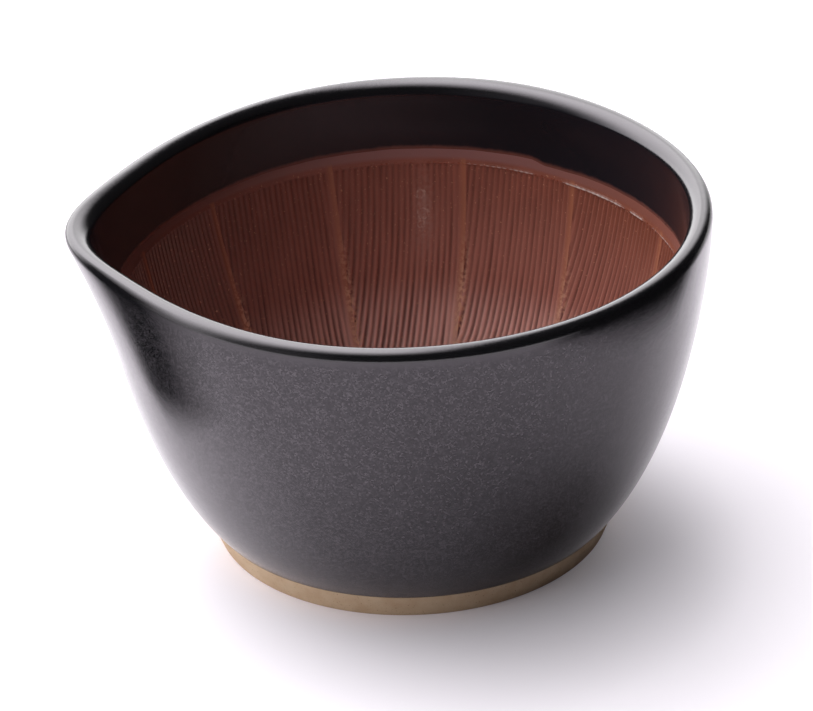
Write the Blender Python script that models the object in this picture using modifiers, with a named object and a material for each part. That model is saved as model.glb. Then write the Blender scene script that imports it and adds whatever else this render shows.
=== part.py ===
"""Spouted grinding bowl: a turned stoneware pot, glazed outside, with a combed inside.

Metres, +Z up. The origin is the centre of the flat base, and the spout points along -X.
A section point is (distance from the axis, height).
"""
import math

import bmesh
import bpy
from mathutils import Vector
from mathutils.geometry import interpolate_bezier

# Overall sizes
RIM_RADIUS = 0.0950
HEIGHT = 0.1090
FOOT_RADIUS = 0.0621

# Wall, rim and floor
RIM_THICKNESS = 0.0064
WALL = 0.0060
FLOOR = 0.0095
FLOOR_FLAT_RADIUS = 0.0450
TURN_HEIGHT = 0.0300
TURN_REACH = 0.0180
WALL_TOP_STRAIGHT = 0.0122
FOOT_SPREAD = 0.0367
FOOT_SPREAD_ANGLE = math.radians(40.7)

# Bare clay foot below the glaze
FOOT_HEIGHT = 0.0078
FOOT_FLARE = 0.0024
FOOT_CHAMFER = 0.0006

# Layers on the clay, and the gap that keeps them separate solids
GLAZE = 0.0005
LINING = 0.0012
GAP = 0.0003

# Bands down the inside, from the rim: glaze, then plain lining, then comb marks
GLAZE_BAND = 0.0240
PLAIN_BAND = 0.0039

# Comb marks: one comb pulled up the wall in strokes side by side
STROKES = 13
GROOVE_PITCH = 0.00188
GROOVE_DEPTH = 0.0007
GROOVE_RUNOUT = 0.0015
COMB_END_RADIUS = 0.0450

# Spout: the rim pulled out at one place, drawn in a little on both sides and dipped
SPOUT_REACH = 0.0085
SPOUT_DEPTH = 0.0292
SPOUT_RAMP = 0.0266
SPOUT_SPREAD = math.radians(12.3)
PINCH_DEPTH = 0.0015
PINCH_ANGLE = math.radians(45.0)
PINCH_SPREAD = math.radians(15.0)
RIM_DIP = 0.0012
RIM_DIP_SPREAD = math.radians(55.0)

# Facets
TURN_STEPS = 60
RIM_STEPS = 6
OUTER_STEPS = 9
FLOOR_STEPS = 2
INNER_STEPS = 3
BAND_STEPS = 3
FINE_STEPS = 200
SHARP_ANGLE = math.radians(40.0)
SLOPE_STEP = 0.001
MITRE_LIMIT = 0.5

RIM_HEIGHT = HEIGHT - RIM_THICKNESS / 2
GLAZE_LINE = HEIGHT - GLAZE_BAND
COMB_TOP = GLAZE_LINE - PLAIN_BAND
SPOUT_ROOT = HEIGHT - SPOUT_DEPTH
GLAZE_EDGE_RADIUS = FOOT_RADIUS + FOOT_FLARE


def clear_scene():
    for obj in list(bpy.data.objects):
        bpy.data.objects.remove(obj, do_unlink=True)


def new_collection(name):
    collection = bpy.data.collections.new(name)
    bpy.context.scene.collection.children.link(collection)
    return collection


def new_material(name, color, roughness):
    material = bpy.data.materials.new(name)
    material.use_nodes = True
    shader = material.node_tree.nodes["Principled BSDF"]
    shader.inputs["Base Color"].default_value = (*color, 1.0)
    shader.inputs["Roughness"].default_value = roughness
    shader.inputs["Metallic"].default_value = 0.0
    return material


def bezier(start, start_handle, end_handle, end, steps):
    return interpolate_bezier(start, start_handle, end_handle, end, steps + 1)


def radius_at(curve, height):
    """The curve's distance from the axis at a height, on a curve that runs steadily up or down."""
    for low, high in zip(curve, curve[1:]):
        if min(low.y, high.y) <= height <= max(low.y, high.y):
            share = (height - low.y) / (high.y - low.y)
            return low.x + share * (high.x - low.x)
    raise ValueError(f"no point of the curve at height {height}")


def slope_at(curve, height):
    """How fast the curve moves out from the axis as it rises."""
    above = radius_at(curve, height + SLOPE_STEP)
    below = radius_at(curve, height - SLOPE_STEP)
    return (above - below) / (2 * SLOPE_STEP)


def outer_wall(steps):
    """Finished outside, from the rim down to the glaze's lower edge."""
    top = Vector((RIM_RADIUS, RIM_HEIGHT))
    low = Vector((GLAZE_EDGE_RADIUS, FOOT_HEIGHT))
    spread = Vector((math.sin(FOOT_SPREAD_ANGLE), math.cos(FOOT_SPREAD_ANGLE))) * FOOT_SPREAD
    return bezier(top, top - Vector((0, WALL_TOP_STRAIGHT)), low + spread, low, steps)


def inner_wall(steps):
    """Finished inside, from the turn of the floor up to the rim, a wall's thickness from the outside."""
    outside = outer_wall(FINE_STEPS)
    slope = slope_at(outside, TURN_HEIGHT)
    across = WALL * math.hypot(1, slope)
    turn = Vector((radius_at(outside, TURN_HEIGHT) - across, TURN_HEIGHT))
    top = Vector((RIM_RADIUS - RIM_THICKNESS, RIM_HEIGHT))
    reach = (RIM_HEIGHT - TURN_HEIGHT) / 3
    return bezier(turn, turn + Vector((slope, 1)) * reach, top - Vector((0, reach)), top, steps)


def floor_curve(steps):
    """Finished inside, from the middle of the floor out to its turn into the wall."""
    wall = inner_wall(FINE_STEPS)
    turn = wall[0]
    down = (wall[0] - wall[1]).normalized() * TURN_REACH
    middle = Vector((0, FLOOR))
    return bezier(middle, Vector((FLOOR_FLAT_RADIUS, FLOOR)), turn + down, turn, steps)


def wall_point(height):
    """The point of the finished inside at a height on the wall."""
    return Vector((radius_at(inner_wall(FINE_STEPS), height), height))


def wall_points(low, high, steps):
    """Points of the finished inside between two heights, both included."""
    return [wall_point(low + (high - low) * i / steps) for i in range(steps)] + [wall_point(high)]


def floor_points():
    """Points of the floor: its middle, then from where the comb marks begin out to the turn."""
    curve = floor_curve(FINE_STEPS)
    reach = curve[-1].x - COMB_END_RADIUS
    radii = [COMB_END_RADIUS + reach * i / FLOOR_STEPS for i in range(FLOOR_STEPS)]
    return curve[:1] + [min(curve, key=lambda point: abs(point.x - radius)) for radius in radii]


def lining_face(top):
    """Finished inside from the middle of the floor up to a height above the comb marks."""
    return floor_points() + wall_points(TURN_HEIGHT, COMB_TOP, INNER_STEPS) + [wall_point(top)]


def rim_round():
    """The half circle over the rim, without its two ends."""
    middle = Vector((RIM_RADIUS - RIM_THICKNESS / 2, RIM_HEIGHT))
    turns = [math.pi * (1 - i / RIM_STEPS) for i in range(1, RIM_STEPS)]
    return [middle + Vector((math.cos(a), math.sin(a))) * (RIM_THICKNESS / 2) for a in turns]


def glaze_face():
    """Finished surface of the glaze: up inside, over the rim and down to the foot."""
    inside = wall_points(GLAZE_LINE + GAP, RIM_HEIGHT, BAND_STEPS)
    return inside + rim_round() + outer_wall(OUTER_STEPS)


def into_clay(face, depth):
    """A face of the section moved into the clay, which lies to the right of its direction."""
    moved = []
    for i, point in enumerate(face):
        before = (point - face[i - 1]).normalized() if i else None
        after = (face[i + 1] - point).normalized() if i + 1 < len(face) else None
        before = before or after
        after = after or before
        along = (before + after).normalized()
        mitre = depth / max(along.dot(after), MITRE_LIMIT)
        new = point + Vector((along.y, -along.x)) * mitre
        if point.x == 0:
            new = point - Vector((0, depth))
        moved.append(new)
    return moved


def body_section():
    inside_low = into_clay(lining_face(GLAZE_LINE + GAP), LINING + GAP)
    rest = into_clay(glaze_face(), GLAZE + GAP)
    chamfer = Vector((FOOT_RADIUS, FOOT_CHAMFER))
    base_edge = Vector((FOOT_RADIUS - FOOT_CHAMFER, 0))
    return inside_low + rest + [chamfer, base_edge, Vector((0, 0))]


def layer_section(face, thickness):
    return face + into_clay(face, thickness)[::-1]


def turned(name, section, closed, collection):
    """A section turned about Z. It runs down its outer side."""
    mesh = bpy.data.meshes.new(name)
    count = len(section)
    edges = [(i, i + 1) for i in range(count - 1)]
    if closed:
        edges.append((count - 1, 0))
    mesh.from_pydata([(point.x, 0, point.y) for point in section], edges, [])
    obj = bpy.data.objects.new(name, mesh)
    collection.objects.link(obj)
    screw = obj.modifiers.new("Turn", "SCREW")
    screw.axis = "Z"
    screw.steps = TURN_STEPS
    screw.render_steps = TURN_STEPS
    screw.use_merge_vertices = True
    screw.merge_threshold = 0.00001
    make_mesh(obj)
    return obj


def make_mesh(obj):
    """Keeps an object's modified shape as its own mesh."""
    depsgraph = bpy.context.evaluated_depsgraph_get()
    mesh = bpy.data.meshes.new_from_object(obj.evaluated_get(depsgraph))
    obj.modifiers.clear()
    obj.data = mesh


def bell(angle, spread):
    return math.exp(-0.5 * (angle / spread) ** 2)


def ramp(share):
    share = min(max(share, 0.0), 1.0)
    return share * share * (3 - 2 * share)


def pulled(point):
    """Where a point of the round pot lies once the spout is pulled."""
    radius = math.hypot(point.x, point.y)
    if radius == 0:
        return point.copy()
    angle = math.atan2(point.y, -point.x)
    strength = ramp((point.z - SPOUT_ROOT) / SPOUT_RAMP)
    out = SPOUT_REACH * bell(angle, SPOUT_SPREAD)
    out -= PINCH_DEPTH * bell(abs(angle) - PINCH_ANGLE, PINCH_SPREAD)
    down = RIM_DIP * bell(angle, RIM_DIP_SPREAD)
    scale = (radius + out * strength) / radius
    return Vector((point.x * scale, point.y * scale, point.z - down * strength))


def pull_spout(obj):
    for vertex in obj.data.vertices:
        vertex.co = pulled(vertex.co)


def comb_rows():
    """Points up the finished inside past the lining's top, and the same points sunk to the comb marks."""
    face = lining_face(GLAZE_LINE + PLAIN_BAND)
    face.insert(-2, wall_point(COMB_TOP - GROOVE_RUNOUT))
    sunk = into_clay(face, GROOVE_DEPTH)
    plain = (0, 1, len(face) - 2, len(face) - 1)
    return face, [face[i] if i in plain else point for i, point in enumerate(sunk)]


def comb_plug(collection):
    """A plug that fills the bowl up past the lining, with a rib for every comb mark."""
    face, ribs = comb_rows()
    teeth = round(2 * math.pi * radius_at(face[1:], COMB_TOP) / (STROKES * GROOVE_PITCH))
    columns = STROKES * teeth * 2
    shape = bmesh.new()
    bottom = shape.verts.new((0, 0, face[0].y))
    top = shape.verts.new((0, 0, face[-1].y))
    rings = []
    for column in range(columns):
        tooth = (column // 2) % teeth
        section = ribs if column % 2 and tooth else face
        angle = 2 * math.pi * column / columns
        ring = [(p.x * math.cos(angle), p.x * math.sin(angle), p.y) for p in section[1:]]
        rings.append([shape.verts.new(co) for co in ring])
    for here, there in zip(rings, rings[1:] + rings[:1]):
        shape.faces.new((bottom, there[0], here[0]))
        for i in range(len(here) - 1):
            shape.faces.new((here[i], there[i], there[i + 1], here[i + 1]))
        shape.faces.new((top, here[-1], there[-1]))
    mesh = bpy.data.meshes.new("comb_plug")
    shape.to_mesh(mesh)
    shape.free()
    obj = bpy.data.objects.new("comb_plug", mesh)
    collection.objects.link(obj)
    obj.hide_render = True
    obj.display_type = "WIRE"
    return obj


def combed_lining(parts, cutters):
    """The lining's blank stands proud of the finished face, and the plug cuts it back to the comb marks."""
    face = lining_face(GLAZE_LINE)
    blank = into_clay(face, -LINING) + into_clay(face, LINING)[::-1]
    lining = turned("combed_lining", blank, False, parts)
    plug = comb_plug(cutters)
    pull_spout(lining)
    pull_spout(plug)
    cut = lining.modifiers.new("Comb", "BOOLEAN")
    cut.operation = "DIFFERENCE"
    cut.object = plug
    return lining


def finish(obj, material, carrier):
    """Layers that lie on each other are split along the same diagonals, so that their gap stays even."""
    split = obj.modifiers.new("Split", "TRIANGULATE")
    split.quad_method = "SHORTEST_DIAGONAL"
    obj.data.materials.clear()
    obj.data.materials.append(material)
    obj.data.shade_smooth()
    obj.data.set_sharp_from_angle(angle=SHARP_ANGLE)
    obj.parent = carrier


def main():
    clear_scene()
    parts = new_collection("grinding_bowl")
    cutters = new_collection("cutters")
    base = bpy.data.objects.new("base_centre", None)
    parts.objects.link(base)

    body = turned("stoneware_body", body_section(), False, parts)
    pull_spout(body)
    finish(body, new_material("bare_stoneware", (0.40, 0.26, 0.16), 0.85), base)

    glaze = turned("black_glaze", layer_section(glaze_face(), GLAZE), True, parts)
    pull_spout(glaze)
    finish(glaze, new_material("satin_black_glaze", (0.012, 0.010, 0.012), 0.35), base)

    lining = combed_lining(parts, cutters)
    finish(lining, new_material("red_brown_slip", (0.16, 0.045, 0.028), 0.6), base)


main()
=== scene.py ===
"""Looks of a spouted grinding bowl: its clay, glaze and combed lining, on a pale studio table.

Metres, +Z up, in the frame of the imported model: the origin is the centre of the base and the spout
points along -X. A section point is (distance from the axis, height). Azimuths run from +X.
"""
import math

import bmesh
import bpy
import numpy as np
from mathutils import Matrix, Vector


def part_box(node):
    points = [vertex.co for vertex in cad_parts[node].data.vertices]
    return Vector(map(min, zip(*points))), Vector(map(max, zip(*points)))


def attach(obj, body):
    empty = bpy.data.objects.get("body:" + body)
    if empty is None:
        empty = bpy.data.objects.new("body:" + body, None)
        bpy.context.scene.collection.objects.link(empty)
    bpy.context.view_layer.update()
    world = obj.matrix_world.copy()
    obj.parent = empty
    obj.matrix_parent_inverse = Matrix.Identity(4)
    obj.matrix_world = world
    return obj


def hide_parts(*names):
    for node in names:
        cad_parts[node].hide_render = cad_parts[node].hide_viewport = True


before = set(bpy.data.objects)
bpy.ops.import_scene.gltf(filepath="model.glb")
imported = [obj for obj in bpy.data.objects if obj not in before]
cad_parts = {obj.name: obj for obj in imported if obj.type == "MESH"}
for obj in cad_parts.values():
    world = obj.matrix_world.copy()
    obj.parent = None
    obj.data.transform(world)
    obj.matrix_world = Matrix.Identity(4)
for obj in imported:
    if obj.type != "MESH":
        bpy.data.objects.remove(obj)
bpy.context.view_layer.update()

# Overall sizes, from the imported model
RIM_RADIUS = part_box("black_glaze")[1].x
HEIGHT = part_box("black_glaze")[1].z
FOOT_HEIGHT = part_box("black_glaze")[0].z

# Wall, rim and floor, as in the part, but for the rim's inner side, which is rounded more broadly
FOOT_RADIUS = 0.0621
FOOT_FLARE = 0.0024
FOOT_CHAMFER = 0.0006
RIM_THICKNESS = 0.0064
RIM_INNER_ROUND = 0.0042
WALL = 0.0060
FLOOR = 0.0095
FLOOR_FLAT_RADIUS = 0.0450
TURN_HEIGHT = 0.0300
TURN_REACH = 0.0180
WALL_TOP_STRAIGHT = 0.0122
FOOT_SPREAD = 0.0367
FOOT_SPREAD_ANGLE = math.radians(40.7)
CURVE_STEPS = 400

# Spout, as in the part, with its lip rolled out a little further and its flanks eased into the wall
SPOUT_REACH = 0.0094
SPOUT_DEPTH = 0.0400
SPOUT_CURVE = 1.7
SPOUT_SPREAD = math.radians(12.3)
PINCH_DEPTH = 0.0015
PINCH_ANGLE = math.radians(45.0)
PINCH_SPREAD = math.radians(15.0)
RIM_DIP = 0.0012
RIM_DIP_SPREAD = math.radians(55.0)

# Hand-thrown wobble of the rim: azimuth and spread in degrees, and rise
RIM_WOBBLE = [(128, 22, -0.0007), (25, 18, -0.0007), (66, 12, 0.0003), (-95, 42, 0.0005)]
WOBBLE_FOOT = 0.055

# A place where the rim is rounder still inside: how far, its azimuth and spread, its reach to both sides
RIM_SWELL = 0.0016
RIM_SWELL_AZIMUTH = math.radians(62)
RIM_SWELL_SPREAD = math.radians(20)
RIM_SWELL_ABOVE = 0.0070
RIM_SWELL_BELOW = 0.0140

# Glaze coat: its thickness, and how it thins, sinks and beads up towards its edges
GLAZE = 0.0005
COAT_EDGE = 0.0002
COAT_TAPER = 0.0030
LINE_SINK_REACH = 0.0007
FOOT_SINK = 0.0002
FOOT_SINK_REACH = 0.0004
BEAD = 0.00005
BEAD_RISE = 0.0005
BEAD_PLACE = 0.0009
BEAD_WIDTH = 0.0007

# The line where the glaze ends inside, with a sag, a step and a ripple, and its ripple above the foot
GLAZE_LINE = HEIGHT - 0.0232
LINE_SAG = 0.0016
LINE_SAG_AZIMUTH = math.radians(144.0)
LINE_SAG_SPREAD = math.radians(20.0)
LINE_STEP = 0.0014
LINE_STEP_AZIMUTH = math.radians(58.5)
LINE_STEP_EASE = math.radians(4.0)
LINE_STEP_RUN = math.radians(54.0)
LINE_WAVE = 0.00018
LINE_WAVE_COUNTS = (5, 9, 14, 23, 41)
LINE_WAVE_SEED = 3
FOOT_WAVE = 0.00012
FOOT_WAVE_COUNTS = (4, 7, 13, 22)
FOOT_WAVE_SEED = 5

# Where the glaze's looks change: fading at its edges, grained outside, duller inside
FADE_INSIDE = 0.0018
FADE_FOOT = 0.0002
OUTSIDE_EASE = 0.0025
INNER_OVERLAP = 0.0025
INNER_EASE = 0.0030

# Glaze mesh: columns, rows beside its edges, and numbers of rows inside, over the rim and outside
GLAZE_COLUMNS = 360
GLAZE_EDGE_ROWS = np.array((0, 0.0001, 0.0003, 0.0006, 0.0010, 0.0016, 0.0025))
GLAZE_ROWS = (12, 24, 56)

# Clay: its gaps under the other layers, and its bare foot with turning lines of a depth and spacing
LAYER_GAP = 0.0003
LAYER_EASE = 0.0040
EDGE_GAP = 0.0002
FOOT_TOP_GAP = 0.0001
FOOT_BOW = 0.0002
TURNING_LINES = [(0.00003, 0.0011), (0.00002, 0.00043)]
CHAMFER_BULGE = 0.3

# Clay mesh: columns, numbers of rows on the floor, inside, over the rim and outside, and rows further down
CLAY_COLUMNS = 240
CLAY_ROWS = (12, 16, 9, 24)
CLAY_EDGE_ROWS = np.array((0.0040, 0.0030, 0.0022, 0.0015, 0.0008, 0.0003))
FOOT_ROWS = 26
BASE_RADII = (0.050, 0.030, 0.012, 0)

# Lining: its thickness, the plain band above the comb marks, and its edge tucked in under the glaze
COMB_TOP = HEIGHT - 0.0280
LINING = 0.0012
BAND_ROWS = 3
BAND_STEP = 0.00015
TUCK_ROWS = np.array((0.0006, 0.0030, 0.0030))
TUCK_LIFT = np.array((-0.00028, -0.00056, -0.0008))

# Lining mesh: numbers of rows on the floor, its turn and the wall, and which of them the back takes up
COMB_ROWS = (8, 13, 19)
FLOOR_ROWS_REACH = 0.040
FLOOR_ROWS_CURVE = 0.8
WALL_ROWS_BELOW_TOP = 0.0024
BACK_EVERY_ON_WALL = 4
BACK_EVERY_ON_FLOOR = 2

# The comb and its grooves. Depths are shares of GROOVE_DEPTH, places across a groove shares of PITCH.
COMB_SEED = 11
TEETH = 24
PITCH = 0.00189
ACROSS = np.array((-0.42, -0.20, 0.0, 0.20, 0.42))
GROOVE_SHAPE = np.array((0.0, 0.62, 1.0, 0.62, 0.0))
GROOVE_DEPTH = 0.00080
DEPTH_AT_TOP = 0.50
DEPTH_REACH = 0.060
START_DEPTH = 0.7
START_REACH = 0.0020
START_EASE = 0.0008
EDGE_TOOTH = 0.25
EDGE_TEETH = 2
PAST_TEETH = np.array((0.3, 1.6))
BARE_WIDTH = 0.4
MIDDLE_PLAIN = 0.001
MIDDLE_EASE = 0.004

# What differs from tooth to tooth and from stroke to stroke
SPACING_CHANCE = 0.020
SPACING_LIMIT = 0.06
DEPTH_CHANCE = 0.10
DEPTH_WAVE = 0.15
DEPTH_WAVE_LENGTH = 0.0061
TOOTH_SWING = 0.00004
SWING_LENGTH = 0.0042
TOP_CHANCE = 0.00025
TOP_CHANCE_REACH = 0.012

# Ragged burrs along the strokes' edges
BURR = 0.00030
BURR_WIDTH = 0.0009
BURR_TOP = 0.1150
BURR_FADE = 0.0350
BURR_FOOT = 0.004
BURR_FOOT_FADE = 0.020
BURR_HEIGHTS = (0.1, 1.5)

# The lip pushed up where the strokes start: rows from the comb marks' top, and its height there
LIP = 0.00050
LIP_ROWS = np.array((-0.0016, -0.0010, -0.0006, -0.0002, 0.0002, 0.0006, 0.0011))
LIP_SHAPE = np.array((0.0, 0.0, 0.15, 0.65, 1.0, 0.30, 0.0))
LIP_PLACE = math.radians(38)
LIP_SPREAD = math.radians(27)
LIP_ELSEWHERE = 0.15
LIP_BESIDE_TEETH = 0.7
LIP_MEAN = 0.95
LIP_WAVE = 1.2
LIP_WAVE_COUNTS = (13, 21, 34, 55)
LIP_WAVE_SEED = 21
LIP_LEAST = 0.3

# Edges of the comb's strokes: azimuth at the top and its turn on the way to the floor, in degrees
STROKE_EDGES = [
    (-174.9, 0.5), (-147.2, -0.8), (-120.4, 0.6), (-92.9, -0.4), (-66.1, 1.0), (-38.0, -0.7), (-11.2, 0.4),
    (16.4, -1.0), (46.9, -1.5), (72.9, 0.7), (102.6, -2.2), (131.9, -2.3), (157.9, -1.0)]
STROKE_WANDER = math.radians(0.3)
WANDER_LENGTH = 0.045
WANDER_EASE = 0.020

# A scuffed place where the grinding has worn the ridges
SCUFF_AZIMUTH = math.radians(82.5)
SCUFF_HEIGHT = 0.0640
SCUFF_SIZE = (0.0021, 0.0085)
SCUFF_WEAR = 0.6

# Rings of slip in the scuffed place: azimuth in degrees, height and radius
RINGS = [(83.1, 0.0705, 0.0013), (82.7, 0.0640, 0.0017), (83.2, 0.0606, 0.0012)]
RING_WIDTH = 0.0006
RING_DRIFT = 0.0016
RING_DRIFT_SCALE = 700
RING_STRENGTH = 0.55
RING_BUMP = 0.00015

# Slip paling towards the floor, partly wear and partly painted light and sheen, with a paler, mostly painted
# sheen lower down that is less on the floor itself
WEAR_AND_LIGHT_TOP = 0.085
WEAR_AND_LIGHT_REACH = 0.045
WEAR_AND_LIGHT_LOW_TOP = 0.046
WEAR_AND_LIGHT_LOW_REACH = 0.018
WEAR_AND_LIGHT_FLOOR = 0.45
WEAR_AND_LIGHT_FLOOR_TOP = 0.011
WEAR_AND_LIGHT_FLOOR_EASE = 0.012

# Sides of the lining, azimuth and spread of each: an orange side from uneven firing, and a dark side that is
# painted shade, where the light falls least
FIRED_AND_SHADED_SIDES = {
    "painted_shade_side": (math.radians(166), math.radians(36)),
    "orange_side": (math.radians(22), math.radians(26)),
}

# Colours of the glaze. Its sheen tints what it mirrors.
GLAZE_BLACK = (0.004, 0.004, 0.005, 1)
GLAZE_BLACK_INSIDE = (0.0125, 0.0110, 0.0145, 1)
GLAZE_SPECK = (0.046, 0.041, 0.046, 1)
GLAZE_THIN = (0.17, 0.066, 0.053, 1)
SHEEN = (1.0, 0.93, 1.0, 1)
SHEEN_BETWEEN_SPECKS = (0.75, 0.70, 0.75, 1)
SHEEN_INSIDE = (0.22, 0.25, 0.30, 1)
GLAZE_IOR = 1.9

# Surface of the glaze: its specks, where it covers fully, and the heights of its grain and ripples
SPECK_SIZE = 0.00045
SPECK_SHARE = (0.40, 1.0)
FULL_COVER = (0.1, 0.95)
GLAZE_GRAIN = 0.000015
GLAZE_RIPPLE = 0.00003

# Colours of the slip, some of them painted light and shade. Its tints go on in this order: where, how
# strongly and which colour.
SLIP_DARKER = (0.250, 0.082, 0.059, 1)
SLIP_LIGHTER = (0.305, 0.100, 0.072, 1)
# the plain band's colour: slip with a painted sheen, greyer and pinker than the combed slip
SLIP_BAND_AND_SHEEN = (0.280, 0.135, 0.132, 1)
SLIP_TINTS = [
    ("orange_side", 0.75, (0.215, 0.064, 0.036, 1)),
    # paler slip low down: partly wear, partly painted light and sheen where the inside turns up to the light
    ("wear_and_painted_light", 0.80, (0.50, 0.210, 0.167, 1)),
    ("wear_and_painted_light_low", 1.0, (0.80, 0.47, 0.42, 1)),
    # painted shade: the lining's left side darkened as if it lay in shadow
    ("painted_shade_side", 0.85, (0.090, 0.030, 0.026, 1)),
    ("bare", 0.50, (0.43, 0.165, 0.085, 1)),
]
# painted shade: darker slip in the comb's grooves standing in for their shade
PAINTED_GROOVE_SHADE = (0.085, 0.026, 0.019, 1)
SLIP_SCUFF = (0.40, 0.215, 0.185, 1)
SLIP_RING = (0.60, 0.40, 0.34, 1)
SLIP_CHIP = (0.74, 0.44, 0.30, 1)
SLIP_FLECK = (0.66, 0.34, 0.22, 1)
# painted highlight: a pale line on the lip standing in for the glint of light along it
PAINTED_LIP_GLINT = (0.85, 0.78, 0.75, 1)
SLIP_IOR = 1.6

# Surface of the slip: from which groove depth to which share the painted groove shade goes on, from which lip
# height to which share the painted lip highlight goes on, how much smoother the lip is, and the height of the
# grain
GROOVE_SHADE = (0.2, 1.0, 0, 0.8)
LIP_GLINT_SHARE = (0.35, 0.85, 0, 0.7)
LIP_SMOOTH = (0, 0.5, 1, 0.4)
SLIP_GRAIN = 0.00003

# Colours of the clay, and the height of its grain
CLAY_DARKER = (0.49, 0.345, 0.222, 1)
CLAY_LIGHTER = (0.545, 0.405, 0.272, 1)
CLAY_SPECK = (0.16, 0.09, 0.05, 1)
CLAY_GRAIN = 0.00006

# Camera, fitted to the outline in the photograph
CAMERA_DISTANCE = 1.425
CAMERA_TURN = math.radians(2.6)
CAMERA_ELEVATION = math.radians(28.762)
CAMERA_ROLL = math.radians(-2.072)
CAMERA_TARGET = Vector((-0.0003, 0.0, 0.0567))
CAMERA_FAR = 50
LENS = 202.5
SENSOR = 36.0

# Table: its own light as the camera sees it, and where it turns plain white
WHITE = (1, 1, 1, 1)
TABLE_SIZE = 12.0
TABLE_COLOR = (0.95, 0.905, 0.965, 1)
TABLE_GLOW = (0.05, 0.38)
TABLE_GLOW_PLACE = Vector((0.0, -0.025, 0))
TABLE_GLOW_REACH = (0.040, 0.105)
TABLE_FADE = (0.28, 0.70)

# Table as the glaze mirrors it: a painted shadow of the pot at one place in front, with its own light growing
# towards the back
MIRROR_COLOR = (0.80, 0.76, 0.81, 1)
MIRROR_SHADE_COLOR = (0.38, 0.34, 0.34, 1)
MIRROR_SHADE_PLACE = Vector((0.052, -0.058, 0))
MIRROR_SHADE_REACH = 0.05
MIRROR_GLOW = (0.0, 0.82)
MIRROR_BACK = (-0.06, 0.10)
MIRROR_LEFT = (0.0, -0.10)
MIRROR_SHIFT = (0.0, 0.05)

# Surroundings: strengths, and where each fades in or out, as parts of a direction
TENT_GLOW = (3.0, 4.0)
TENT_RISE = (0.30, 0.85)
TENT_RIGHT = (-0.04, 0.22)
TENT_FRONT = (-0.50, 0.50)
BOARD_GLOW = 2.4
BOARD_BACK = (0.30, 0.70)
BOARD_TOP = (0.50, 0.75)
BOARD_RIGHT = (0.25, 0.60)
WALL_GLOW = 0.2
WALL_LEFT = (-0.3, -0.9)
ROOM_GLOW = 0.03

# Lamp
LAMP_AIM = Vector((-0.75, -0.47, 0.47)).normalized()
LAMP_DISTANCE = 1.0
LAMP_SIZE = 0.6
LAMP_WATTS = 3.35

# Dark cards: the line on which each stands on the table, and its height
CARDS = {
    "right_card": ([(0.160, -0.210), (0.178, -0.150), (0.188, -0.080), (0.186, -0.020), (0.182, 0.015),
                    (0.176, 0.050)], 0.30),
    "left_card": ([(-0.142, -0.080), (-0.128, -0.035), (-0.125, -0.010), (-0.125, 0.014)], 0.17),
}
CARD_COLOR = (0.01, 0.01, 0.01, 1)
CARD_SOFT_FOOT = 0.03
CARD_SOFT_TOP = 0.7

# Small limits: points to weld, the least radius at the axis, and columns that touch the next stroke
WELD = 2e-6
LEAST_RADIUS = 1e-6
TOUCH = 1e-9


def bezier(start, start_handle, end_handle, end):
    """Points of a cubic curve, one per row."""
    t = np.linspace(0, 1, CURVE_STEPS + 1)[:, None]
    s = 1 - t
    corners = [np.array(point) for point in (start, start_handle, end_handle, end)]
    return s**3 * corners[0] + 3 * s**2 * t * corners[1] + 3 * s * t**2 * corners[2] + t**3 * corners[3]


def outer_wall():
    """Finished outside, from the rim down to the glaze's lower edge."""
    top = np.array((RIM_RADIUS, HEIGHT - RIM_THICKNESS / 2))
    low = np.array((FOOT_RADIUS + FOOT_FLARE, FOOT_HEIGHT))
    spread = np.array((math.sin(FOOT_SPREAD_ANGLE), math.cos(FOOT_SPREAD_ANGLE))) * FOOT_SPREAD
    return bezier(top, top - (0, WALL_TOP_STRAIGHT), low + spread, low)


def inner_wall():
    """Finished inside, from the turn of the floor up to the rim."""
    outside = outer_wall()[::-1]
    radius = np.interp(TURN_HEIGHT, outside[:, 1], outside[:, 0])
    slope = np.interp(TURN_HEIGHT, outside[:, 1], np.gradient(outside[:, 0], outside[:, 1]))
    turn = np.array((radius - WALL * math.hypot(1, slope), TURN_HEIGHT))
    top = np.array((RIM_RADIUS - RIM_THICKNESS / 2 - RIM_INNER_ROUND, HEIGHT - RIM_INNER_ROUND))
    reach = (top[1] - TURN_HEIGHT) / 3
    return bezier(turn, turn + np.array((slope, 1)) * reach, top - (0, reach), top)


def floor_curve(wall):
    """Finished inside, from the middle of the floor out to its turn into the wall."""
    down = wall[0] - wall[1]
    handle = wall[0] + down / np.hypot(*down) * TURN_REACH
    return bezier((0, FLOOR), (FLOOR_FLAT_RADIUS, FLOOR), handle, wall[0])


def rim_round():
    """Over the rim, from the inner wall to the outer one."""
    angle = np.linspace(math.pi, 0, CURVE_STEPS + 1)
    half = RIM_THICKNESS / 2
    round_radius = np.where(angle > math.pi / 2, RIM_INNER_ROUND, half)
    top = RIM_RADIUS - half
    return np.stack((top + round_radius * np.cos(angle), HEIGHT + round_radius * (np.sin(angle) - 1)), 1)


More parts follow.
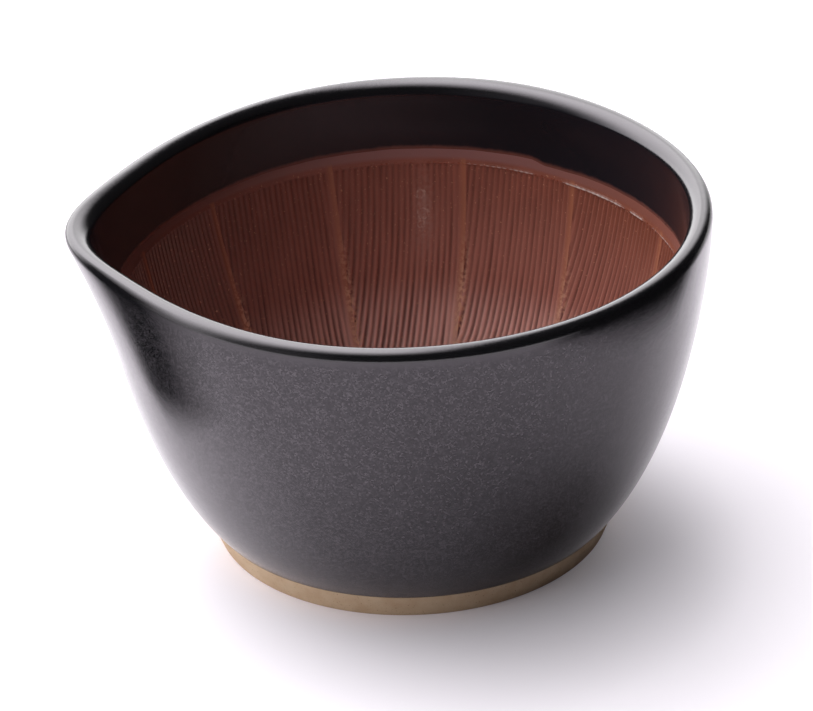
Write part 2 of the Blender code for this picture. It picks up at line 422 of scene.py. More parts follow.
class Face:
    """The pot's finished face as one path: out over the floor, up inside, over the rim and down outside."""

    def __init__(self):
        wall = inner_wall()
        stretches = [floor_curve(wall), wall[1:], rim_round()[1:], outer_wall()[1:]]
        self.points = np.concatenate(stretches)
        steps = np.hypot(*np.diff(self.points, axis=0).T)
        self.distance = np.concatenate(([0], np.cumsum(steps)))
        along = np.gradient(self.points, self.distance, axis=0)
        along /= np.hypot(*along.T)[:, None]
        self.normal = np.stack((-along[:, 1], along[:, 0]), 1)
        lengths = np.cumsum([len(stretch) for stretch in stretches]) - 1
        self.turn, self.rim_inside, self.rim_outside, self.end = self.distance[lengths]

    def inside_at(self, height):
        """Distance along the path to a height on the inner wall."""
        wall = (self.distance >= self.turn) & (self.distance <= self.rim_inside)
        return np.interp(height, self.points[wall, 1], self.distance[wall])

    def at(self, distance, lift=0.0):
        """Radius and height at distances along the path, lifted off it."""
        found = [np.interp(distance, self.distance, column) for column in (*self.points.T, *self.normal.T)]
        return found[0] + found[2] * lift, found[1] + found[3] * lift


FACE = Face()


def bell(away, spread):
    """1 at zero, falling off to both sides."""
    return np.exp(-0.5 * (away / spread) ** 2)


def ramp(share):
    """From 0 to 1, eased at both ends."""
    share = np.clip(share, 0.0, 1.0)
    return share * share * (3 - 2 * share)


def turn_between(angle, other):
    """The turn to one azimuth from another, between -180 and 180 degrees."""
    return (angle - other + math.pi) % (2 * math.pi) - math.pi


def placed(radius, height, azimuth):
    """Points of the pot with its spout pulled and its rim wobbling, from points of the round pot."""
    angle = turn_between(azimuth, math.pi)
    strength = np.clip((height - HEIGHT) / SPOUT_DEPTH + 1, 0, 1) ** SPOUT_CURVE
    out = SPOUT_REACH * bell(angle, SPOUT_SPREAD)
    out = out - PINCH_DEPTH * bell(np.abs(angle) - PINCH_ANGLE, PINCH_SPREAD)
    radius = radius + out * strength
    wobble = sum(
        rise * bell(turn_between(azimuth, math.radians(place)), math.radians(spread))
        for place, spread, rise in RIM_WOBBLE)
    upper = ramp((height - WOBBLE_FOOT) / (HEIGHT - WOBBLE_FOOT))
    height = height - RIM_DIP * bell(angle, RIM_DIP_SPREAD) * strength + wobble * upper
    return np.stack((radius * np.cos(azimuth), radius * np.sin(azimuth), height), -1)


def waves(azimuth, counts, seed):
    """A smooth closed ripple round the pot, from -1 to 1, made of a few whole waves."""
    phases = np.random.default_rng(seed).uniform(0, 2 * math.pi, len(counts))
    return sum(np.sin(count * azimuth + phase) for count, phase in zip(counts, phases)) / len(counts)


def linked(name, data):
    """A new object in the scene."""
    made = bpy.data.objects.new(name, data)
    bpy.context.scene.collection.objects.link(made)
    return made


def grid_object(name, points, closed_rows, marks):
    """A mesh over rows and columns of points. Columns run round the pot; closed rows join up too."""
    rows, columns = points.shape[:2]
    index = np.arange(rows * columns).reshape(rows, columns)
    row_pairs = [(i, (i + 1) % rows) for i in range(rows if closed_rows else rows - 1)]
    faces = []
    for low, high in row_pairs:
        here, there = index[low], index[high]
        faces.append(np.stack((here, there, np.roll(there, -1), np.roll(here, -1)), 1))
    mesh = bpy.data.meshes.new(name)
    mesh.from_pydata(points.reshape(-1, 3), [], np.concatenate(faces).tolist())
    for key, values in marks.items():
        layer = mesh.attributes.new(key, "FLOAT", "POINT")
        layer.data.foreach_set("value", values.astype(np.float32).ravel())
    welded = bmesh.new()
    welded.from_mesh(mesh)
    bmesh.ops.remove_doubles(welded, verts=welded.verts, dist=WELD)
    welded.to_mesh(mesh)
    welded.free()
    mesh.validate()
    mesh.shade_smooth()
    return linked(name, mesh)


def glaze_line(azimuth):
    """Height of the glaze's lower line inside, which wanders as a dipped line does."""
    sag = LINE_SAG * bell(turn_between(azimuth, LINE_SAG_AZIMUTH), LINE_SAG_SPREAD)
    past = turn_between(LINE_STEP_AZIMUTH, azimuth)
    step = LINE_STEP * ramp(past / LINE_STEP_EASE) * np.clip(1 - past / LINE_STEP_RUN, 0, 1)
    return GLAZE_LINE - sag - step + LINE_WAVE * waves(azimuth, LINE_WAVE_COUNTS, LINE_WAVE_SEED)


def rows_between(low, high, count):
    """Evenly spaced rows after the low one, up to the high one."""
    return low + (high - low) * np.arange(1, count + 1)[:, None] / count


def glaze_rows(start, end):
    """Distances along the face of the coat's rows, which lie closest beside its two edges."""
    near = GLAZE_EDGE_ROWS[:, None]
    inside, over_rim, outside = GLAZE_ROWS
    level = np.zeros_like(start)
    return np.concatenate((
        start + near,
        rows_between(start + near[-1], FACE.rim_inside, inside),
        rows_between(FACE.rim_inside + level, FACE.rim_outside, over_rim),
        rows_between(FACE.rim_outside + level, end - near[-1], outside),
        end - near[-2::-1],
    ))


def glaze_lift(azimuth, distance, from_edge):
    """How far the coat's face stands off: sunk at its edges, beaded beside them, and swollen at the rim."""
    line_sink = BAND_STEP * (1 - ramp(from_edge / LINE_SINK_REACH))
    foot_sink = FOOT_SINK * (1 - ramp(from_edge / FOOT_SINK_REACH))
    bead = ramp(from_edge / BEAD_RISE) * bell(from_edge - BEAD_PLACE, BEAD_WIDTH)
    past = distance - FACE.rim_inside
    swell = ramp(1 - past / RIM_SWELL_ABOVE) * ramp(1 + past / RIM_SWELL_BELOW)
    swell = RIM_SWELL * swell * bell(turn_between(azimuth, RIM_SWELL_AZIMUTH), RIM_SWELL_SPREAD)
    return BEAD * bead - np.where(past < 0, line_sink, foot_sink) + swell


def glaze_coat():
    """The glaze from its line inside, over the rim and down to its edge above the foot."""
    azimuth = np.linspace(0, 2 * math.pi, GLAZE_COLUMNS, endpoint=False)
    start = FACE.inside_at(glaze_line(azimuth))
    end = FACE.end + FOOT_WAVE * waves(azimuth, FOOT_WAVE_COUNTS, FOOT_WAVE_SEED)
    distance = glaze_rows(start, end)
    from_edge = np.minimum(distance - start, end - distance)
    lift = glaze_lift(azimuth, distance, from_edge)
    thickness = COAT_EDGE + (GLAZE - COAT_EDGE) * ramp(from_edge / COAT_TAPER)
    front = placed(*FACE.at(distance, lift), azimuth)
    back = placed(*FACE.at(distance, lift - thickness), azimuth)
    fade = np.where(distance < FACE.rim_inside, FADE_INSIDE, FADE_FOOT)
    marks = {
        "cover": np.clip(from_edge / fade, 0, 1),
        "outside": ramp((distance - FACE.rim_outside) / OUTSIDE_EASE),
        "inner": ramp((FACE.rim_inside + INNER_OVERLAP - distance) / INNER_EASE),
    }
    marks = {key: np.concatenate((values, values[::-1])) for key, values in marks.items()}
    return grid_object("glaze_coat", np.concatenate((front, back[::-1])), True, marks)


def foot_section():
    """Radius and height of the bare clay: down the foot from the glaze's edge, and in under the base."""
    top = np.array((FOOT_RADIUS + FOOT_FLARE - COAT_EDGE, FOOT_HEIGHT - FOOT_TOP_GAP))
    low = np.array((FOOT_RADIUS, FOOT_CHAMFER))
    share = np.linspace(0, 1, FOOT_ROWS)
    radius, height = top[:, None] + (low - top)[:, None] * share
    middle = np.sin(math.pi * share)
    lines = sum(depth * np.sin(height * 2 * math.pi / spacing) for depth, spacing in TURNING_LINES)
    radius = radius + FOOT_BOW * middle + lines * middle
    bulge = FOOT_CHAMFER * CHAMFER_BULGE
    base_radius = np.array((FOOT_RADIUS - bulge, FOOT_RADIUS - FOOT_CHAMFER, *BASE_RADII))
    base_height = np.zeros_like(base_radius)
    base_height[0] = bulge
    return np.concatenate((radius, base_radius)), np.concatenate((height, base_height))


def clay_body():
    """The clay under glaze and lining, bare at the foot and the base."""
    azimuth = np.linspace(0, 2 * math.pi, CLAY_COLUMNS, endpoint=False)
    floor, inside, over_rim, outside = CLAY_ROWS
    distance = np.concatenate((
        np.linspace(0, FACE.turn, floor),
        np.linspace(FACE.turn, FACE.rim_inside, inside)[1:],
        np.linspace(FACE.rim_inside, FACE.rim_outside, over_rim)[1:],
        np.linspace(FACE.rim_outside, FACE.end - CLAY_EDGE_ROWS[0], outside)[1:],
        FACE.end - CLAY_EDGE_ROWS[1:],
    ))
    past_line = distance - FACE.inside_at(GLAZE_LINE)
    under_lining = LINING + LAYER_GAP
    under_glaze = GLAZE + LAYER_GAP
    under_edge = COAT_EDGE + EDGE_GAP
    depth = under_lining + (under_glaze - under_lining) * ramp(past_line / LAYER_EASE)
    depth = under_edge + (depth - under_edge) * ramp((FACE.end - distance) / COAT_TAPER)
    covered = FACE.at(distance, -depth)
    radius, height = (np.concatenate(parts)[:, None] for parts in zip(covered, foot_section()))
    return grid_object("clay_body", placed(radius, height, azimuth), False, {})


def comb_rows():
    """Distances along the face of the lining's rows, from the middle of the floor to the comb marks' top."""
    top = FACE.inside_at(COMB_TOP)
    on_floor, in_turn, on_wall = COMB_ROWS
    floor = np.linspace(0, 1, on_floor) ** FLOOR_ROWS_CURVE * FLOOR_ROWS_REACH
    turn = np.linspace(FLOOR_ROWS_REACH, FACE.turn, in_turn)[1:]
    wall = np.linspace(FACE.turn, top - WALL_ROWS_BELOW_TOP, on_wall)[1:]
    return np.concatenate((floor, turn, wall, top + LIP_ROWS))


def stroke_edges(rise, chance):
    """Azimuths of the strokes' edges, row by row. They lean and wander a little on the way down."""
    edges, lean = np.radians(STROKE_EDGES).T
    phase = chance.uniform(0, 2 * math.pi, len(edges))
    down = (1 - rise / rise[-1])[:, None]
    wander = STROKE_WANDER * np.sin(rise[:, None] / WANDER_LENGTH * math.pi + phase)
    wander = wander * ramp(rise / WANDER_EASE)[:, None]
    return edges + lean * np.minimum(down * 2, 1) + wander


def comb_teeth(rise, chance):
    """Offsets from the starting edge and groove depths of one stroke's columns, row by row."""
    tooth = np.arange(TEETH)
    rise = rise[:, None]
    spacing = np.clip(SPACING_CHANCE * chance.normal(size=TEETH), -SPACING_LIMIT, SPACING_LIMIT)
    swing = TOOTH_SWING * np.sin(rise / SWING_LENGTH + chance.uniform(0, 2 * math.pi, TEETH))
    middle = (tooth + 0.5 + spacing) * PITCH + swing
    cut = np.interp(tooth, (0, EDGE_TEETH), (EDGE_TOOTH, 1))
    cut = cut * (1 + DEPTH_CHANCE * chance.uniform(-1, 1, TEETH))
    phase = chance.uniform(0, 2 * math.pi, TEETH)
    cut = cut * (1 + DEPTH_WAVE * np.sin(rise / DEPTH_WAVE_LENGTH + phase))
    edge = np.zeros_like(rise)
    past = (TEETH + PAST_TEETH) * PITCH * np.ones_like(rise)
    offset = (middle[:, :, None] + ACROSS * PITCH).reshape(len(rise), -1)
    depth = (cut[:, :, None] * GROOVE_SHAPE).reshape(len(rise), -1)
    return np.concatenate((edge, offset, past), 1), np.concatenate((edge, depth, 0 * past), 1)


def stroke(rise, start, stop, shifts, chance):
    """One pull of the comb. Its marks run along its starting edge and are cut off by the next stroke's.

    Gives, row by row and column by column: azimuth, groove depth, nearness to an edge, the bare strip along
    the starting edge, how far the stroke's top is shifted, and whether the column is still short of the next
    stroke's edge.
    """
    radius = np.maximum(FACE.at(rise)[0], LEAST_RADIUS)[:, None]
    limit = np.sin(np.minimum(turn_between(stop, start), math.pi / 2))[:, None] * radius
    offset, depth = comb_teeth(rise, chance)
    held = np.minimum(offset, limit)
    free = held < limit - TOUCH
    azimuth = start[:, None] + np.arcsin(np.clip(held / radius, -1, 1))
    near_edge = np.minimum(bell(held, BURR_WIDTH) + bell(limit - held, BURR_WIDTH), 1)
    bare = 1 - ramp(held / PITCH - BARE_WIDTH)
    shift = shifts[0] + (shifts[1] - shifts[0]) * held / limit
    return azimuth, depth * free, near_edge, bare, shift, free


def strokes_round(rise, chance):
    """What each stroke gives, side by side round the whole pot."""
    edges = stroke_edges(rise, chance)
    shifts = chance.normal(0, TOP_CHANCE, edges.shape[1])
    after = np.roll(edges, -1, 1)
    pairs = np.stack((shifts, np.roll(shifts, -1)), 1)
    strokes = [stroke(rise, *sides, pair, chance) for *sides, pair in zip(edges.T, after.T, pairs)]
    return [np.concatenate(parts, 1) for parts in zip(*strokes)]


def scuffed(azimuth, rise):
    """1 in the middle of the scuffed place, 0 away from it."""
    radius, height = FACE.at(rise)
    across = bell(turn_between(azimuth, SCUFF_AZIMUTH) * radius, SCUFF_SIZE[0])
    return across * bell(height - SCUFF_HEIGHT, SCUFF_SIZE[1])


def pressed(rise, below_top):
    """How deep the comb goes: pressed in at its start, deeper further down, not at the floor's middle."""
    deeper = DEPTH_AT_TOP + (1 - DEPTH_AT_TOP) * below_top / DEPTH_REACH
    press = np.maximum(deeper, START_DEPTH * bell(below_top, START_REACH))
    return press * ramp(below_top / START_EASE) * ramp((rise - MIDDLE_PLAIN) / MIDDLE_EASE)


def pushed_lip(azimuth, ends, row_count):
    """Height of the lip at the strokes' tops, and 0 in all rows below it."""
    shape = np.concatenate((np.zeros(row_count - len(LIP_SHAPE)), LIP_SHAPE))[:, None]
    lip = shape * (LIP_BESIDE_TEETH + (1 - LIP_BESIDE_TEETH) * ends)
    lip = lip * (LIP_ELSEWHERE + (1 - LIP_ELSEWHERE) * bell(turn_between(azimuth, LIP_PLACE), LIP_SPREAD))
    ragged = LIP_MEAN + LIP_WAVE * waves(azimuth, LIP_WAVE_COUNTS, LIP_WAVE_SEED)
    return lip * np.clip(ragged, LIP_LEAST, 1)


def jagged(free, chance):
    """Uneven burr heights. Columns held at the next stroke's edge share one, so that they stay together."""
    heights = chance.uniform(*BURR_HEIGHTS, free.shape).reshape(len(free), len(STROKE_EDGES), -1)
    return np.where(free.reshape(heights.shape), heights, heights[:, :, -1:]).reshape(free.shape)


def lining_shell(azimuth, rise, distance, lift):
    """Azimuth, distance and lift of all the lining's rows: combed face, plain band, tucked edge and back."""
    line = FACE.inside_at(glaze_line(azimuth[-1]))
    share = np.linspace(0, 1, BAND_ROWS + 1)[1:, None]
    band = distance[-1] + (line - distance[-1]) * share
    tuck = line + TUCK_ROWS[:, None]
    on_wall = np.flatnonzero(rise > FACE.turn)
    on_floor = np.flatnonzero(rise <= FACE.turn)
    behind = np.concatenate((on_wall[::-BACK_EVERY_ON_WALL], on_floor[::-BACK_EVERY_ON_FLOOR], [0]))
    above = np.repeat(azimuth[-1:], len(band) + len(tuck), 0)
    level = np.ones_like(line)
    front_lifts = (lift, -BAND_STEP * ramp(share) * level, TUCK_LIFT[:, None] * level)
    return (
        np.concatenate((azimuth, above, azimuth[behind])),
        np.concatenate((distance, band, tuck, distance[behind])),
        np.concatenate((*front_lifts, np.full((len(behind), len(line)), -LINING))),
    )


def wear_and_painted_light_at(height):
    """Paleness of the slip at a height, partly wear and partly painted light and sheen: it grows downwards,
    and a paler painted sheen comes on top near the floor.
    """
    off_floor = ramp((height - WEAR_AND_LIGHT_FLOOR_TOP) / WEAR_AND_LIGHT_FLOOR_EASE)
    low = ramp((WEAR_AND_LIGHT_LOW_TOP - height) / WEAR_AND_LIGHT_LOW_REACH) * (WEAR_AND_LIGHT_FLOOR + (1 - WEAR_AND_LIGHT_FLOOR) * off_floor)
    return {"wear_and_painted_light": ramp((WEAR_AND_LIGHT_TOP - height) / WEAR_AND_LIGHT_REACH), "wear_and_painted_light_low": low}


def combed_lining():
    """The lining: comb strokes side by side on a thin closed shell, with a plain band above them."""
    chance = np.random.default_rng(COMB_SEED)
    rise = comb_rows()
    azimuth, cut, near_edge, bare, shift, free = strokes_round(rise, chance)
    rise = rise[:, None]
    below_top = FACE.inside_at(COMB_TOP) - rise
    distance = rise + shift * ramp(1 - below_top / TOP_CHANCE_REACH)
    scuff = scuffed(azimuth, rise)
    groove = cut * pressed(rise, below_top) * (1 - SCUFF_WEAR * scuff)
    burr = near_edge * (ramp((BURR_TOP - rise) / BURR_FADE) * ramp((rise - BURR_FOOT) / BURR_FOOT_FADE))
    lip = pushed_lip(azimuth[-1], np.minimum(cut[-1], 1), len(rise))
    lift = -GROOVE_DEPTH * groove + BURR * burr * jagged(free, chance) + LIP * lip
    turned, along, lifted = lining_shell(azimuth, rise[:, 0], distance, lift)

    def padded(values):
        """Values for the combed face, with 0 on the rest of the lining."""
        whole = np.zeros(turned.shape)
        whole[:len(rise)] = values
        return whole

    face_marks = {"groove": groove, "bare": bare, "burr": burr, "scuff": scuff, "lip": lip, "combed": 1.0}
    # paler slip low down, partly wear and partly painted light and sheen
    face_marks.update(wear_and_painted_light_at(FACE.at(rise)[1]))
    marks = {key: padded(values) for key, values in face_marks.items()}
    # the sides of the lining: an orange tint, and painted shade on the left side
    for key, (place, spread) in FIRED_AND_SHADED_SIDES.items():
        marks[key] = bell(turn_between(turned, place), spread)
    return grid_object("ridged_lining", placed(*FACE.at(along, lifted), turned), False, marks)


def node(tree, kind, **settings):
    """A shader node with its properties, and with inputs given by name set to values or linked."""
    made = tree.nodes.new("ShaderNode" + kind)
    inputs = settings.pop("inputs", {})
    for key, value in settings.items():
        setattr(made, key, value)
    for key, value in inputs.items():
        if isinstance(value, bpy.types.NodeSocket):
            tree.links.new(value, made.inputs[key])
        else:
            made.inputs[key].default_value = value
    return made


def new_material(name):
    material = bpy.data.materials.new(name)
    material.use_nodes = True
    tree = material.node_tree
    tree.nodes.clear()
    return material, tree


def object_place(tree):
    return node(tree, "TexCoord").outputs["Object"]


def attribute(tree, name):
    return node(tree, "Attribute", attribute_name=name).outputs["Fac"]


def noise(tree, size, detail):
    """Noise between 0 and 1 with features of about this size, in metres."""
    made = node(tree, "TexNoise", inputs={"Vector": object_place(tree), "Scale": 1 / size, "Detail": detail})
    return made.outputs["Fac"]


def cells(tree, size):
    """A random value between 0 and 1 for each cell of about this size, in metres."""
    made = node(tree, "TexVoronoi", inputs={"Vector": object_place(tree), "Scale": 1 / size})
    return node(tree, "SeparateColor", inputs={0: made.outputs["Color"]}).outputs[0]


def ranged(tree, value, low, high, to_low, to_high, interpolation="LINEAR"):
    """A value between low and high, brought between two others."""
    made = node(tree, "MapRange", interpolation_type=interpolation, inputs={
        "Value": value, "From Min": low, "From Max": high, "To Min": to_low, "To Max": to_high})
    return made.outputs["Result"]


def eased(tree, value, low, high, to_low, to_high):
    return ranged(tree, value, low, high, to_low, to_high, "SMOOTHSTEP")


def mottled(tree, size, detail, between, values):
    """Patches of about this size, in metres: noise between two limits, brought between two values."""
    return ranged(tree, noise(tree, size, detail), *between, *values)


def calculated(tree, operation, first, second=0.0):
    return node(tree, "Math", operation=operation, inputs={0: first, 1: second}).outputs[0]


def times(tree, first, second):
    return calculated(tree, "MULTIPLY", first, second)


def brighter(tree, first, second):
    return calculated(tree, "MAXIMUM", first, second)


def distance_to(tree, where, place):
    return node(tree, "VectorMath", operation="DISTANCE", inputs={0: where, 1: place}).outputs["Value"]


def mixed(tree, share, first, second):
    made = node(tree, "MixRGB", inputs={"Fac": share, "Color1": first, "Color2": second})
    return made.outputs["Color"]


def bumped(tree, height, distance, normal=None):
    """A normal bent by bumps of this height, in metres, on top of another one."""
    inputs = {"Height": height, "Distance": distance, "Strength": 1.0}
    if normal:
        inputs["Normal"] = normal
    return node(tree, "Bump", inputs=inputs).outputs["Normal"]


def shown(tree, shader):
    node(tree, "OutputMaterial", inputs={"Surface": shader.outputs[0]})


def fired(tree, color, rough, normal, **others):
    """A fired surface: colour, roughness and grain, and other inputs by name."""
    inputs = {"Base Color": color, "Roughness": rough, "Normal": normal, **others}
    shown(tree, node(tree, "BsdfPrincipled", inputs=inputs))


def glaze_material():
    """Satin black, grained outside and duller inside, and brown where it thins out over the slip."""
    material, tree = new_material("satin_black_glaze")
    inner = attribute(tree, "inner")
    outside = attribute(tree, "outside")
    speck = ranged(tree, cells(tree, SPECK_SIZE), *SPECK_SHARE, 0, 1)
    black = mixed(tree, inner, GLAZE_BLACK, GLAZE_BLACK_INSIDE)
    black = mixed(tree, times(tree, speck, outside), black, GLAZE_SPECK)
    patch = mottled(tree, size=0.0025, detail=3, between=(0.3, 0.7), values=(-0.08, 0.08))
    cover = calculated(tree, "ADD", attribute(tree, "cover"), patch)
    color = mixed(tree, eased(tree, cover, *FULL_COVER, 0, 1), GLAZE_THIN, black)
    between_specks = times(tree, ranged(tree, speck, 0, 1, 1, 0), outside)
    sheen = mixed(tree, between_specks, SHEEN, SHEEN_BETWEEN_SPECKS)
    sheen = mixed(tree, inner, sheen, SHEEN_INSIDE)
    rough = mottled(tree, size=0.0006, detail=2, between=(0.35, 0.65), values=(0.13, 0.22))
    grain = bumped(tree, noise(tree, size=0.00055, detail=2), GLAZE_GRAIN)
    grain = bumped(tree, noise(tree, size=0.004, detail=2), GLAZE_RIPPLE, grain)
    fired(tree, color, rough, grain, **{"IOR": GLAZE_IOR, "Specular Tint": sheen})
    return material


def rings(tree):
    """1 along the uneven edges of a few spots in the scuffed place, 0 elsewhere."""
    where = object_place(tree)
    drift = node(tree, "TexNoise", inputs={"Vector": where, "Scale": RING_DRIFT_SCALE, "Detail": 1})
    drifted = node(tree, "VectorMath", operation="MULTIPLY_ADD", inputs={
        0: drift.outputs["Color"], 1: Vector((RING_DRIFT,) * 3), 2: where}).outputs[0]
    found = None
    for azimuth, height, radius in RINGS:
        place = placed(FACE.at(FACE.inside_at(height))[0], height, math.radians(azimuth)) + RING_DRIFT / 2
        off = calculated(tree, "SUBTRACT", distance_to(tree, drifted, Vector(place)), radius)
        ring = eased(tree, calculated(tree, "ABSOLUTE", off), 0, RING_WIDTH, 1, 0)
        found = brighter(tree, found, ring) if found else ring
    return found


def slip_color(tree, ring):
    """Red-brown, with painted shade in the comb's grooves, paler low down from wear and from painted light
    and sheen, with painted shade on one side and a painted highlight on the lip, chipped and orange at the
    strokes' edges.
    """
    combed = attribute(tree, "combed")
    cloud = mottled(tree, size=0.012, detail=3, between=(0.35, 0.65), values=(0, 1))
    color = mixed(tree, cloud, SLIP_DARKER, SLIP_LIGHTER)
    # the plain band gets slip with a painted sheen
    color = mixed(tree, combed, SLIP_BAND_AND_SHEEN, color)
    for mark, strength, tint in SLIP_TINTS:
        color = mixed(tree, times(tree, attribute(tree, mark), strength), color, tint)
    # painted shade in the grooves
    color = mixed(tree, ranged(tree, attribute(tree, "groove"), *GROOVE_SHADE), color, PAINTED_GROOVE_SHADE)
    smear = mottled(tree, size=0.0012, detail=3, between=(0.40, 0.60), values=(0.1, 0.8))
    color = mixed(tree, times(tree, attribute(tree, "scuff"), smear), color, SLIP_SCUFF)
    color = mixed(tree, times(tree, ring, RING_STRENGTH), color, SLIP_RING)
    chip = mottled(tree, size=0.0012, detail=3, between=(0.46, 0.54), values=(0, 0.9))
    color = mixed(tree, times(tree, attribute(tree, "burr"), chip), color, SLIP_CHIP)
    fleck = mottled(tree, size=0.0007, detail=2, between=(0.68, 0.73), values=(0, 0.8))
    color = mixed(tree, times(tree, fleck, combed), color, SLIP_FLECK)
    # painted highlight along the lip
    return mixed(tree, ranged(tree, attribute(tree, "lip"), *LIP_GLINT_SHARE), color, PAINTED_LIP_GLINT)


def slip_material():
    """Thin slip with a low sheen, smoother where it was pushed up into a lip, which also carries a painted
    highlight.
    """
    material, tree = new_material("red_brown_slip")
    broken = mottled(tree, size=0.0009, detail=2, between=(0.38, 0.56), values=(0, 1))
    ring = times(tree, rings(tree), broken)
    grit = mottled(tree, size=0.0008, detail=3, between=(0.3, 0.7), values=(0.30, 0.44))
    rough = times(tree, grit, ranged(tree, attribute(tree, "lip"), *LIP_SMOOTH))
    grain = bumped(tree, noise(tree, size=0.00035, detail=3), SLIP_GRAIN)
    grain = bumped(tree, ring, RING_BUMP, grain)
    fired(tree, slip_color(tree, ring), rough, grain, IOR=SLIP_IOR)
    return material


def clay_material():
    """Buff stoneware, matt and slightly gritty, with a few dark specks."""
    material, tree = new_material("bare_stoneware")
    cloud = mottled(tree, size=0.006, detail=3, between=(0.35, 0.65), values=(0, 1))
    speck = mottled(tree, size=0.0006, detail=2, between=(0.66, 0.74), values=(0, 0.7))
    color = mixed(tree, speck, mixed(tree, cloud, CLAY_DARKER, CLAY_LIGHTER), CLAY_SPECK)
    rough = mottled(tree, size=0.0012, detail=3, between=(0.3, 0.7), values=(0.80, 0.95))
    grain = bumped(tree, noise(tree, size=0.0004, detail=3), CLAY_GRAIN)
    fired(tree, color, rough, grain)
    return material


def dress(obj, cad_node, material):
    """Give a piece its material, hang it on the root, and hide the node of the part that it stands in for."""
    obj.data.materials.append(material)
    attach(obj, "root")
    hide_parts(cad_node)


def background_ray(tree):
    """1 for rays that see the background: the camera's own, and those that a glossy surface mirrors."""
    path = node(tree, "LightPath").outputs
    return brighter(tree, path["Is Camera Ray"], path["Is Glossy Ray"])


def table_glow(tree, where, rays):
    """The table's own light: for the camera beside the pot, and for what the glaze mirrors behind it."""
    aside = distance_to(tree, where, TABLE_GLOW_PLACE)
    seen = times(tree, rays["Is Camera Ray"], ranged(tree, aside, *TABLE_GLOW_REACH, *TABLE_GLOW))
    right, back, _ = node(tree, "SeparateXYZ", inputs={0: where}).outputs
    behind = calculated(tree, "ADD", back, ranged(tree, right, *MIRROR_LEFT, *MIRROR_SHIFT))
    mirrored = times(tree, rays["Is Glossy Ray"], ranged(tree, behind, *MIRROR_BACK, *MIRROR_GLOW))
    return brighter(tree, seen, mirrored)


def table_material():
    """White, with the pot's shadow near the pot, and plain white further off."""
    material, tree = new_material("white_table")
    rays = node(tree, "LightPath").outputs
    where = object_place(tree)
    # painted shadow: the table as the glaze mirrors it is darkened near one place in front of the pot
    lit = ranged(tree, distance_to(tree, where, MIRROR_SHADE_PLACE), 0, MIRROR_SHADE_REACH, 0, 1)
    seen_in_glaze = mixed(tree, lit, MIRROR_SHADE_COLOR, MIRROR_COLOR)
    color = mixed(tree, rays["Is Glossy Ray"], TABLE_COLOR, seen_in_glaze)
    diffuse = node(tree, "BsdfDiffuse", inputs={"Color": color})
    glow = node(tree, "Emission", inputs={"Color": TABLE_COLOR, "Strength": table_glow(tree, where, rays)})
    near = node(tree, "AddShader", inputs={0: diffuse.outputs[0], 1: glow.outputs[0]})
    white = node(tree, "Emission", inputs={"Color": WHITE, "Strength": 1.0})
    away = node(tree, "VectorMath", operation="LENGTH", inputs={0: where}).outputs["Value"]
    share = times(tree, ranged(tree, away, *TABLE_FADE, 0, 1), background_ray(tree))
    shown(tree, node(tree, "MixShader", inputs={0: share, 1: near.outputs[0], 2: white.outputs[0]}))
    material.cycles.emission_sampling = "NONE"
    return material


def table_top():
    """A wide white table."""
    mesh = bpy.data.meshes.new("table_top")
    half = TABLE_SIZE / 2
    corners = [(-half, -half, 0), (half, -half, 0), (half, half, 0), (-half, half, 0)]
    mesh.from_pydata(corners, [], [(0, 1, 2, 3)])
    mesh.materials.append(table_material())
    table = linked("table_top", mesh)


def card_material():
    """Black where the card is solid, clear at its soft edges."""
    material, tree = new_material("black_card")
    black = node(tree, "BsdfDiffuse", inputs={"Color": CARD_COLOR})
    clear = node(tree, "BsdfTransparent")
    shown(tree, node(tree, "MixShader", inputs={
        0: attribute(tree, "solid"), 1: clear.outputs[0], 2: black.outputs[0]}))
    return material


def card_mesh(name, path, height):
    """A card standing along a path, solid in the middle and soft all round."""
    levels = [0, CARD_SOFT_FOOT, height * CARD_SOFT_TOP, height]
    across = len(path)
    corners = [(*point, level) for level in levels for point in path]
    steps = [row * across + i for row in range(len(levels) - 1) for i in range(across - 1)]
    mesh = bpy.data.meshes.new(name)
    mesh.from_pydata(corners, [], [(i, i + 1, i + 1 + across, i + across) for i in steps])
    solid = np.zeros((len(levels), across), np.float32)
    solid[1:-1, 1:-1] = 1
    mesh.attributes.new("solid", "FLOAT", "POINT").data.foreach_set("value", solid.ravel())
    return mesh


def dark_cards():
    """Black soft-edged cards beside the pot, as a studio uses: only what the glaze mirrors shows them."""
    material = card_material()
    for name, (path, height) in CARDS.items():
        mesh = card_mesh(name, path, height)
        mesh.materials.append(material)
        card = linked(name, mesh)
        card.visible_camera = False
        card.visible_diffuse = False
        card.visible_shadow = False
        card.visible_transmission = False


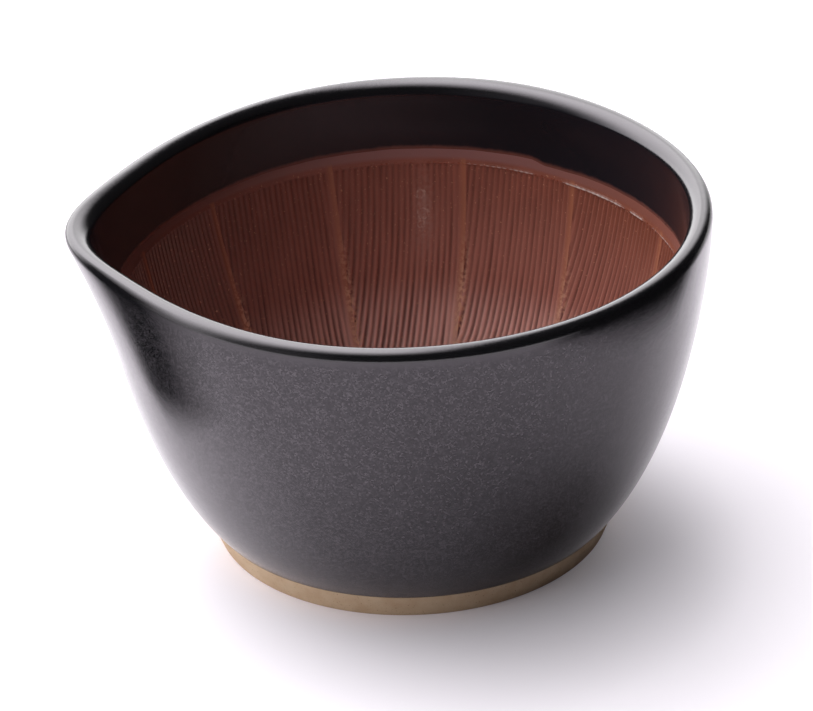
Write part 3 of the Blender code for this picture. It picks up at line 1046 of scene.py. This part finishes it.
def surroundings():
    """A light tent high at the back left, a white board behind and a dark room.

    The camera itself sees plain white.
    """
    world = bpy.data.worlds.new("studio")
    world.use_nodes = True
    tree = world.node_tree
    tree.nodes.clear()
    direction = node(tree, "TexCoord").outputs["Generated"]
    right, back, up = node(tree, "SeparateXYZ", inputs={0: direction}).outputs
    tent = times(tree, eased(tree, up, *TENT_RISE, *TENT_GLOW), eased(tree, right, *TENT_RIGHT, 1, 0))
    tent = times(tree, tent, eased(tree, back, *TENT_FRONT, 0, 1))
    board = times(tree, eased(tree, back, *BOARD_BACK, 0, BOARD_GLOW), eased(tree, up, *BOARD_TOP, 1, 0))
    board = times(tree, board, eased(tree, right, *BOARD_RIGHT, 1, 0))
    wall = eased(tree, right, *WALL_LEFT, ROOM_GLOW, WALL_GLOW)
    glow = brighter(tree, brighter(tree, tent, board), wall)
    camera_ray = node(tree, "LightPath").outputs["Is Camera Ray"]
    strength = ranged(tree, camera_ray, 0, 1, glow, 1)
    light = node(tree, "Background", inputs={"Color": WHITE, "Strength": strength})
    node(tree, "OutputWorld", inputs={"Surface": light.outputs[0]})
    bpy.context.scene.world = world


def soft_lamp():
    """A square lamp at the front left, which lights the pot but isn't mirrored in it."""
    data = bpy.data.lights.new("soft_lamp", "AREA")
    data.size = LAMP_SIZE
    data.energy = LAMP_WATTS
    lamp = linked("soft_lamp", data)
    lamp.location = LAMP_AIM * LAMP_DISTANCE
    lamp.rotation_euler = LAMP_AIM.to_track_quat("Z", "Y").to_euler()
    lamp.visible_camera = False
    lamp.visible_glossy = False


def camera():
    """The photograph's view: a long lens, a little rolled."""
    turn = Matrix.Rotation(-CAMERA_TURN, 3, "Z")
    ahead = turn @ Vector((0, math.cos(CAMERA_ELEVATION), -math.sin(CAMERA_ELEVATION)))
    level = turn @ Vector((1, 0, 0))
    upright = level.cross(ahead)
    right = math.cos(CAMERA_ROLL) * level + math.sin(CAMERA_ROLL) * upright
    up = math.cos(CAMERA_ROLL) * upright - math.sin(CAMERA_ROLL) * level
    data = bpy.data.cameras.new("camera")
    data.lens = LENS
    data.sensor_width = SENSOR
    data.clip_end = CAMERA_FAR
    made = linked("camera", data)
    made.matrix_world = Matrix((right, up, -ahead)).transposed().to_4x4()
    made.location = turn @ CAMERA_TARGET - ahead * CAMERA_DISTANCE
    bpy.context.scene.camera = made


def main():
    """The pot's three pieces and the studio."""
    dress(glaze_coat(), "black_glaze", glaze_material())
    dress(clay_body(), "stoneware_body", clay_material())
    dress(combed_lining(), "combed_lining", slip_material())
    table_top()
    dark_cards()
    surroundings()
    soft_lamp()
    camera()
    bpy.context.scene.view_settings.view_transform = "Standard"


main()
